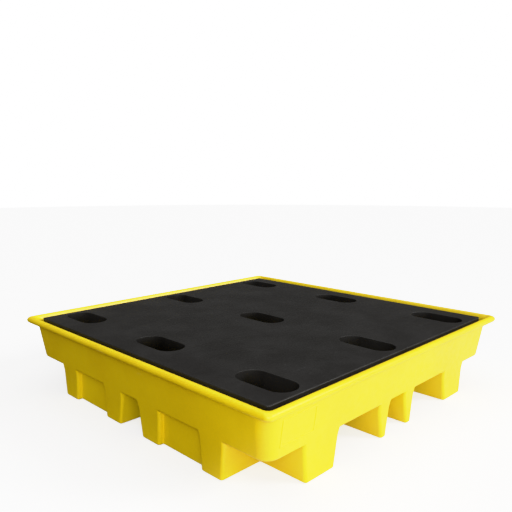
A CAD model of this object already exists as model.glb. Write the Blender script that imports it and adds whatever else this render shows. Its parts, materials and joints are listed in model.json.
"""Looks of a spill containment pallet: yellow moulded sump, black slotted deck, tube posts under the deck.

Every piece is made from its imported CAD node, in metres and in the same frame, and rides on that node's body.
"""

import json
import math

import bmesh
import bpy
from mathutils import Euler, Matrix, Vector

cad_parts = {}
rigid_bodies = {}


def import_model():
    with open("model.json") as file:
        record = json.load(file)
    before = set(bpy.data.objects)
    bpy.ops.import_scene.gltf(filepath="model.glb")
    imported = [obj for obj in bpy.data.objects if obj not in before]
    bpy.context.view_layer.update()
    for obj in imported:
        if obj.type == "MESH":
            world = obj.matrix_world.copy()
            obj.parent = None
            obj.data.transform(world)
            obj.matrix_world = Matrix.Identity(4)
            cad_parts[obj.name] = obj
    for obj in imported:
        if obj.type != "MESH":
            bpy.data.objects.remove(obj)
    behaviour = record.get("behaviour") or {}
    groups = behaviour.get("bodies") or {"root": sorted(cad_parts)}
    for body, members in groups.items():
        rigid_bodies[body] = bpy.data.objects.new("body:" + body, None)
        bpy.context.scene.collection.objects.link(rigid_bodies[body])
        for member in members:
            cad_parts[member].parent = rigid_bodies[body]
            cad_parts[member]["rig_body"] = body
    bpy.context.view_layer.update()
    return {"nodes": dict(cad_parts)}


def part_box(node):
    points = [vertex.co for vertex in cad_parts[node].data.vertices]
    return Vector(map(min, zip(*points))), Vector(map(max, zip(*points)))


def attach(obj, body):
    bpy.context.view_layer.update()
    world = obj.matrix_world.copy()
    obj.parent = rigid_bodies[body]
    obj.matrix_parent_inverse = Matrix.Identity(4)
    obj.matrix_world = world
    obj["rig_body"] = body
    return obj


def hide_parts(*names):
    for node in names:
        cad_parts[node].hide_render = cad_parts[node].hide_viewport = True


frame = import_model()

# ---------------------------------------------------------------- driving values, in metres and degrees

SAME_POINT = 2e-6  # CAD vertices closer than this are one
FLAT_WITHIN = math.radians(0.6)  # CAD triangles closer than this to one plane become one face
SHARP_OVER = math.radians(28)  # edges that turn more than this are rounded

# Rounding of edges: radius, and faces round the bend. The sump's kinds are rounded in this order.
SUMP_ROUNDS = {
    "outward": (0.0095, 5),  # outside edges that stick out, up the feet and under the tub
    "sole": (0.0045, 4),  # round the underside of each foot
    "inward": (0.003, 3),  # outside edges in the corners of recesses and channels
    "neck": (0.004, 3),  # where the wall meets the rim
    "tub": (0.004, 3),  # edges inside the tub
    "plate": (0.0007, 2),  # the small frame on the front wall
}
DECK_ROUND = (0.0018, 3)
POST_ROUND = (0.0012, 2)
BIG_FACE_WEIGHT = 90  # out of 100: how much the big faces keep the smooth shading flat

RIM_HEIGHT = 0.024  # the rim's bead takes up this much of the sump's height
CREST_DEPTH = 0.0002  # edges within this of the sump's top are the rim's crest
SOLE_HEIGHT = 0.002  # edges lower than this are round the underside of a foot
PLATE_BOX = ((-0.57, -0.42), (0.135, 0.23))  # where the small frame is, along X and Z
DECK_EDGE_DEPTH = 0.004  # edges within this of the deck's top are rounded

# Height and half width that the wall's bend is moved to, in line with the wall above it.
BEND = (0.090, 0.591415)
WALL_OVER = 0.592  # at that height only the outside wall is further out than this
ON_LEVEL = 1e-5  # how close to that height a vertex of the new cut is

PHOTO_CAMERA = {
    "place": (-1.4925, -1.4423, 0.7883),
    "yaw": 45.38,  # from +Y towards +X
    "pitch": 8.07,  # downwards
    "lens": 39.16,
    "sensor": 36.0,
}

# Each soft sun: the direction of its light, strength, and spread in degrees.
SUNS = {
    "key": ((0.55, -0.75, 0.45), 2.35, 20.0),
    "top": ((0.0, 0.0, 1.0), 1.8, 80.0),
    "front_fill": ((-0.43, -0.82, 0.36), 1.1, 34.0),
    "left_fill": ((-0.90, -0.20, 0.45), 0.34, 50.0),
}
CAMERA_LAMP = {"place": (-2.1, -2.0, 1.3), "target": (-0.6, -0.6, 0.2), "side": 0.8, "watts": 20.0}
ROOM_STRENGTH = 0.10  # of the white surround as a light
ROOM_SEEN = 2.0  # of the white surround as the camera sees it

FLOOR_RADIUS = 14.0
FLOOR_DROP = 0.0005  # the floor lies this far below the feet
FLOOR_GLOW = 0.62  # light of its own, which whitens it for the camera
FLOOR_ROUGHNESS = 0.8
FLOOR_LEFT = (0.14, 0.095, 0.01, 1)  # what the floor gives back to the pallet, left of the front corner
FLOOR_RIGHT = (0.85, 0.85, 0.80, 1)  # the same, right of the front corner
FLOOR_CHANGE = (-0.24, -0.02)  # where it goes from one to the other, in metres right of the diagonal

FILM_WHITE = 2.0  # the brightness that shows as white
FILM_STRAIGHT_TO = 0.74
FILM_SHOULDER = ((0.92, 0.83), (1.10, 0.875), (1.40, 0.93))  # brightness, and what it shows as
ALL_COLOURS = 3  # number of the film's curve that acts on red, green and blue together

YELLOW = {
    "deep": (0.80, 0.572, 0.002, 1),
    "clear": (0.86, 0.638, 0.003, 1),
    "speckle": (0.90, 0.65, 0.004, 1),
    "scuff": (0.88, 0.76, 0.30, 1),
    "rubbed": (0.93, 0.74, 0.04, 1),
}
BLACK = {
    "deep": (0.008, 0.007, 0.006, 1),
    "clear": (0.013, 0.012, 0.011, 1),
    "scratch": (0.09, 0.09, 0.095, 1),
    "rubbed": (0.035, 0.035, 0.036, 1),
}
TUBE = {
    "deep": (0.016, 0.016, 0.018, 1),
    "clear": (0.030, 0.030, 0.032, 1),
    "dust": (0.075, 0.070, 0.060, 1),
}
FLOOR = {"deep": (0.80, 0.80, 0.80, 1), "clear": (0.84, 0.84, 0.84, 1)}
WHITE = (1.0, 1.0, 1.0, 1)
YELLOW_SPECULAR, BLACK_SPECULAR, FLOOR_SPECULAR = 0.4, 0.28, 0.2
EDGE_POINTINESS = (0.53, 0.62)  # from hardly rubbed to fully rubbed edges


# ---------------------------------------------------------------- node helpers

def new_material(name):
    """An empty node material with its output and one Principled shader, and a function that adds nodes."""
    material = bpy.data.materials.new(name)
    material.use_nodes = True
    tree = material.node_tree
    shader = tree.nodes["Principled BSDF"]

    def add(kind, inputs=None, **settings):
        node = tree.nodes.new(kind)
        for key, value in settings.items():
            setattr(node, key, value)
        for key, value in (inputs or {}).items():
            if isinstance(value, bpy.types.NodeSocket):
                tree.links.new(value, node.inputs[key])
            else:
                node.inputs[key].default_value = value
        return node

    return material, shader, add, tree.links.new


def noise(add, place, scale, detail=2.0, roughness=0.5, distortion=0.0):
    """A noise value over the surface, with about scale lumps to the metre."""
    node = add("ShaderNodeTexNoise", {
        "Vector": place, "Scale": scale, "Detail": detail, "Roughness": roughness, "Distortion": distortion,
    })
    return node.outputs["Fac"]


def remap(add, value, low, high, to_low=0.0, to_high=1.0):
    """Value from low..high spread over to_low..to_high, smoothly and clamped."""
    node = add("ShaderNodeMapRange", {
        "Value": value, "From Min": low, "From Max": high, "To Min": to_low, "To Max": to_high,
    }, interpolation_type="SMOOTHSTEP")
    return node.outputs["Result"]


def mix_colour(add, factor, first, second):
    node = add("ShaderNodeMix", data_type="RGBA")
    factor_socket, first_socket, second_socket = node.inputs[0], node.inputs[6], node.inputs[7]
    for socket, value in ((factor_socket, factor), (first_socket, first), (second_socket, second)):
        if isinstance(value, bpy.types.NodeSocket):
            node.id_data.links.new(value, socket)
        else:
            socket.default_value = value
    return node.outputs[2]


def maths(add, operation, first, second):
    return add("ShaderNodeMath", {0: first, 1: second}, operation=operation).outputs[0]


def edge_wear(add):
    """How much an edge sticks out and is rubbed, from 0 to 1."""
    return remap(add, add("ShaderNodeNewGeometry").outputs["Pointiness"], *EDGE_POINTINESS)


def bumps(add, link, shader, height, strength, distance):
    bump = add("ShaderNodeBump", {"Height": height, "Strength": strength, "Distance": distance})
    link(bump.outputs["Normal"], shader.inputs["Normal"])


# ---------------------------------------------------------------- materials

def yellow_plastic():
    """Moulded polyethylene: clear warm yellow, faintly mottled, with rubbed edges and a few pale scuffs."""
    material, shader, add, link = new_material("yellow_polyethylene")
    place = add("ShaderNodeTexCoord").outputs["Object"]
    edges = edge_wear(add)

    clouds = remap(add, noise(add, place, 5.0, 3.0), 0.35, 0.65)
    colour = mix_colour(add, clouds, YELLOW["deep"], YELLOW["clear"])
    speckle = remap(add, noise(add, place, 160.0), 0.3, 0.7, 0.0, 0.35)
    colour = mix_colour(add, speckle, colour, YELLOW["speckle"])

    stretched = add("ShaderNodeMapping", {"Vector": place, "Scale": (5.0, 5.0, 22.0)}).outputs["Vector"]
    streaks = remap(add, noise(add, stretched, 3.0, 5.0, 0.65, 0.6), 0.64, 0.74)
    patches = remap(add, noise(add, place, 4.0, 1.0), 0.52, 0.66)
    scuffs = maths(add, "MULTIPLY", streaks, patches)
    colour = mix_colour(add, maths(add, "MULTIPLY", scuffs, 0.45), colour, YELLOW["scuff"])
    rubbed = maths(add, "MULTIPLY", edges, noise(add, place, 40.0, 3.0))
    colour = mix_colour(add, maths(add, "MULTIPLY", rubbed, 0.35), colour, YELLOW["rubbed"])
    link(colour, shader.inputs["Base Color"])

    grain = remap(add, noise(add, place, 55.0, 3.0), 0.3, 0.7, 0.36, 0.46)
    rough = maths(add, "ADD", grain, maths(add, "MULTIPLY", scuffs, 0.22))
    link(rough, shader.inputs["Roughness"])

    waves = maths(add, "MULTIPLY", noise(add, place, 9.0, 1.0), 6.0)
    bumps(add, link, shader, maths(add, "ADD", waves, noise(add, place, 260.0)), 0.22, 0.0006)
    shader.inputs["Specular IOR Level"].default_value = YELLOW_SPECULAR
    return material


def black_plastic():
    """The deck's black polyethylene: a slightly uneven satin skin with fine scratches."""
    material, shader, add, link = new_material("black_polyethylene")
    place = add("ShaderNodeTexCoord").outputs["Object"]
    edges = edge_wear(add)

    clouds = remap(add, noise(add, place, 7.0, 4.0), 0.35, 0.65)
    colour = mix_colour(add, clouds, BLACK["deep"], BLACK["clear"])
    turned = add("ShaderNodeMapping", {
        "Vector": place, "Rotation": (0.0, 0.0, 0.6), "Scale": (2.0, 30.0, 2.0),
    }).outputs["Vector"]
    scratches = remap(add, noise(add, turned, 6.0, 6.0, 0.7, 0.8), 0.62, 0.72)
    patches = remap(add, noise(add, place, 3.0), 0.48, 0.62)
    wear = maths(add, "MULTIPLY", scratches, patches)
    colour = mix_colour(add, maths(add, "MULTIPLY", wear, 0.30), colour, BLACK["scratch"])
    rubbed = maths(add, "MULTIPLY", edges, noise(add, place, 50.0, 3.0))
    colour = mix_colour(add, maths(add, "MULTIPLY", rubbed, 0.4), colour, BLACK["rubbed"])
    link(colour, shader.inputs["Base Color"])

    grain = remap(add, noise(add, place, 24.0, 4.0), 0.3, 0.7, 0.42, 0.54)
    dulled = maths(add, "ADD", maths(add, "MULTIPLY", wear, 0.18), maths(add, "MULTIPLY", edges, 0.20))
    link(maths(add, "ADD", grain, dulled), shader.inputs["Roughness"])

    waves = maths(add, "MULTIPLY", noise(add, place, 7.0), 8.0)
    bumps(add, link, shader, maths(add, "ADD", waves, noise(add, place, 300.0)), 0.25, 0.0006)
    shader.inputs["Specular IOR Level"].default_value = BLACK_SPECULAR
    return material


def post_plastic():
    """Extruded dark tube: fine lines along its length and a duller skin than the deck's."""
    material, shader, add, link = new_material("dark_tube")
    place = add("ShaderNodeTexCoord").outputs["Object"]
    lengthways = add("ShaderNodeMapping", {"Vector": place, "Scale": (60.0, 60.0, 1.5)}).outputs["Vector"]
    lines = noise(add, lengthways, 6.0, 3.0)
    colour = mix_colour(add, remap(add, lines, 0.35, 0.65), TUBE["deep"], TUBE["clear"])
    dust = remap(add, noise(add, place, 18.0, 4.0), 0.5, 0.75, 0.0, 0.35)
    colour = mix_colour(add, dust, colour, TUBE["dust"])
    link(colour, shader.inputs["Base Color"])
    link(remap(add, lines, 0.3, 0.7, 0.46, 0.62), shader.inputs["Roughness"])
    bumps(add, link, shader, lines, 0.2, 0.0004)
    return material


def floor_paint():
    """A pale matt floor for the camera, which gives little light back at the left and much at the right."""
    material, shader, add, link = new_material("studio_floor")
    place = add("ShaderNodeTexCoord").outputs["Object"]
    colour = mix_colour(add, noise(add, place, 0.7), FLOOR["deep"], FLOOR["clear"])
    link(colour, shader.inputs["Base Color"])
    shader.inputs["Roughness"].default_value = FLOOR_ROUGHNESS
    shader.inputs["Specular IOR Level"].default_value = FLOOR_SPECULAR
    shader.inputs["Emission Color"].default_value = WHITE
    shader.inputs["Emission Strength"].default_value = FLOOR_GLOW

    across = (math.sqrt(0.5), -math.sqrt(0.5), 0.0)
    rightwards = add("ShaderNodeVectorMath", {0: place, 1: across}, operation="DOT_PRODUCT").outputs["Value"]
    given_back = mix_colour(add, remap(add, rightwards, *FLOOR_CHANGE), FLOOR_LEFT, FLOOR_RIGHT)
    dull = add("ShaderNodeBsdfDiffuse", {"Color": given_back})
    seen = add("ShaderNodeLightPath").outputs["Is Camera Ray"]
    either = add("ShaderNodeMixShader", {0: seen, 1: dull.outputs[0], 2: shader.outputs[0]})
    link(either.outputs[0], material.node_tree.nodes["Material Output"].inputs["Surface"])
    return material


# ---------------------------------------------------------------- pieces

def cleaned(node):
    """The CAD node's mesh as a bmesh with whole flat faces instead of triangles."""
    mesh = bmesh.new()
    mesh.from_mesh(frame["nodes"][node].data)
    bmesh.ops.remove_doubles(mesh, verts=mesh.verts, dist=SAME_POINT)
    join_flat_faces(mesh)
    return mesh


def join_flat_faces(mesh):
    bmesh.ops.dissolve_limit(
        mesh, verts=mesh.verts, edges=mesh.edges,
        angle_limit=FLAT_WITHIN, use_dissolve_boundaries=False, delimit=set(),
    )


def sharp_edges(mesh):
    return [e for e in mesh.edges if len(e.link_faces) == 2 and e.calc_face_angle(0.0) > SHARP_OVER]


def rounded(mesh, edges, rounding):
    radius, segments = rounding
    bmesh.ops.bevel(
        mesh, geom=edges, offset=radius, offset_type="OFFSET", segments=segments, profile=0.5, affect="EDGES",
        clamp_overlap=False, loop_slide=False,
    )


def outside_of(mesh):
    """The sump's outside faces: all that a foot's underside leads to without crossing the rim's crest."""
    crest = max(v.co.z for v in mesh.verts) - CREST_DEPTH
    first = min(mesh.faces, key=lambda face: face.calc_center_median().z)
    found, waiting = {first}, [first]
    while waiting:
        for edge in waiting.pop().edges:
            if min(v.co.z for v in edge.verts) > crest:
                continue
            fresh = [face for face in edge.link_faces if face not in found]
            found.update(fresh)
            waiting.extend(fresh)
    return found


def piece_from(mesh, name, node, material):
    """Makes the object that stands for a CAD node, smooth shaded with the big faces kept flat."""
    data = bpy.data.meshes.new(name)
    mesh.to_mesh(data)
    mesh.free()
    data.polygons.foreach_set("use_smooth", [True] * len(data.polygons))
    data.materials.append(material)
    piece = bpy.data.objects.new(name, data)
    bpy.context.scene.collection.objects.link(piece)
    weighted = piece.modifiers.new("flat_faces_first", "WEIGHTED_NORMAL")
    weighted.weight = BIG_FACE_WEIGHT
    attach(piece, frame["nodes"][node]["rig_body"])
    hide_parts(node)
    return piece


def kind_of(edge, outside, rim_foot):
    """Which of SUMP_ROUNDS a sharp edge belongs to, or None on the rim."""
    middle = (edge.verts[0].co + edge.verts[1].co) / 2
    if not all(face in outside for face in edge.link_faces):
        return "tub" if middle.z < rim_foot else None
    (plate_low, plate_high), (plate_under, plate_over) = PLATE_BOX
    if plate_low < middle.x < plate_high and plate_under < middle.z < plate_over and middle.y < 0:
        return "plate"
    sticks_out = edge.calc_face_angle_signed(0.0) > 0
    if middle.z < SOLE_HEIGHT:
        return "sole"
    if middle.z < rim_foot:
        return "outward" if sticks_out else "inward"
    return None if sticks_out else "neck"


def lower_bend(mesh):
    """Moves the wall's level bend down, clear of the channels' roofs, so that their edges can be rounded."""
    height, half = BEND
    everything = [*mesh.verts, *mesh.edges, *mesh.faces]
    bmesh.ops.bisect_plane(mesh, geom=everything, plane_co=(0, 0, height), plane_no=(0, 0, 1))
    for vert in mesh.verts:
        for axis in (0, 1):
            if abs(vert.co.z - height) < ON_LEVEL and abs(vert.co[axis]) > WALL_OVER:
                vert.co[axis] = math.copysign(half, vert.co[axis])
    mesh.normal_update()
    join_flat_faces(mesh)


def make_sump(material):
    """The sump with each kind of edge rounded as a moulding's is."""
    mesh = cleaned("sump_base")
    lower_bend(mesh)
    rim_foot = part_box("sump_base")[1].z - RIM_HEIGHT
    for kind, rounding in SUMP_ROUNDS.items():
        outside = outside_of(mesh)
        rounded(mesh, [e for e in sharp_edges(mesh) if kind_of(e, outside, rim_foot) == kind], rounding)
    return piece_from(mesh, "moulded_sump", "sump_base", material)


def make_deck(material):
    """The deck with the rims of its slots and its top edge eased."""
    mesh = cleaned("deck")
    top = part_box("deck")[1].z - DECK_EDGE_DEPTH
    rounded(mesh, [e for e in sharp_edges(mesh) if min(v.co.z for v in e.verts) > top], DECK_ROUND)
    return piece_from(mesh, "slotted_deck", "deck", material)


def make_post(node, material):
    mesh = cleaned(node)
    rounded(mesh, sharp_edges(mesh), POST_ROUND)
    return piece_from(mesh, node.replace("post", "support"), node, material)


# ---------------------------------------------------------------- studio

def make_floor():
    bpy.ops.mesh.primitive_circle_add(
        vertices=96, radius=FLOOR_RADIUS, fill_type="NGON", location=(0, 0, -FLOOR_DROP),
    )
    floor = bpy.context.object
    floor.name = "studio_floor"
    floor.data.materials.append(floor_paint())


def lamp(name, kind, strength, towards_light):
    """A lamp of a kind, turned so that its light comes from a direction."""
    data = bpy.data.lights.new(name, kind)
    data.energy = strength
    light = bpy.data.objects.new(name, data)
    bpy.context.scene.collection.objects.link(light)
    light.rotation_euler = (-Vector(towards_light)).to_track_quat("-Z", "Y").to_euler()
    return light


def make_lights():
    """Soft light: a bright key from the right, fills from above, front and left, a lamp by the camera."""
    for name, (towards_light, strength, spread) in SUNS.items():
        lamp(name, "SUN", strength, towards_light).data.angle = math.radians(spread)
    place = Vector(CAMERA_LAMP["place"])
    beside = lamp("camera_lamp", "AREA", CAMERA_LAMP["watts"], place - Vector(CAMERA_LAMP["target"]))
    beside.location = place
    beside.data.size = CAMERA_LAMP["side"]


def make_world():
    """A plain white surround for the camera, which gives only a dim light of its own."""
    world = bpy.data.worlds.new("studio")
    bpy.context.scene.world = world
    world.use_nodes = True
    tree = world.node_tree
    room = tree.nodes["Background"]
    room.inputs["Strength"].default_value = ROOM_STRENGTH
    seen = tree.nodes.new("ShaderNodeBackground")
    seen.inputs["Strength"].default_value = ROOM_SEEN
    for background in (room, seen):
        background.inputs["Color"].default_value = WHITE
    either = tree.nodes.new("ShaderNodeMixShader")
    tree.links.new(tree.nodes.new("ShaderNodeLightPath").outputs["Is Camera Ray"], either.inputs["Fac"])
    tree.links.new(room.outputs[0], either.inputs[1])
    tree.links.new(seen.outputs[0], either.inputs[2])
    tree.links.new(either.outputs[0], tree.nodes["World Output"].inputs["Surface"])


def make_camera():
    data = bpy.data.cameras.new("camera")
    data.sensor_width = PHOTO_CAMERA["sensor"]
    data.lens = PHOTO_CAMERA["lens"]
    camera = bpy.data.objects.new("camera", data)
    bpy.context.scene.collection.objects.link(camera)
    camera.location = PHOTO_CAMERA["place"]
    camera.rotation_euler = Euler((
        math.radians(90.0 - PHOTO_CAMERA["pitch"]), 0.0, math.radians(-PHOTO_CAMERA["yaw"]),
    ))
    bpy.context.scene.camera = camera


def set_film():
    """Colours as they are up to FILM_STRAIGHT_TO, then a soft roll-off of what is brighter, to FILM_WHITE."""
    view = bpy.context.scene.view_settings
    view.view_transform = "Standard"
    view.use_curve_mapping = True
    film = view.curve_mapping
    film.white_level = (FILM_WHITE, FILM_WHITE, FILM_WHITE)
    curve = film.curves[ALL_COLOURS]
    for bright, shown in FILM_SHOULDER:
        curve.points.new(bright / FILM_WHITE, shown)
    straight = curve.points.new(FILM_STRAIGHT_TO / FILM_WHITE, FILM_STRAIGHT_TO)
    for point in (curve.points[0], straight):
        point.handle_type = "VECTOR"
    film.update()


# ---------------------------------------------------------------- scene

make_camera()
make_world()
make_lights()
make_floor()
make_sump(yellow_plastic())
make_deck(black_plastic())
tube = post_plastic()
for post in sorted(n for n in frame["nodes"] if "post" in n):
    make_post(post, tube)
set_film()
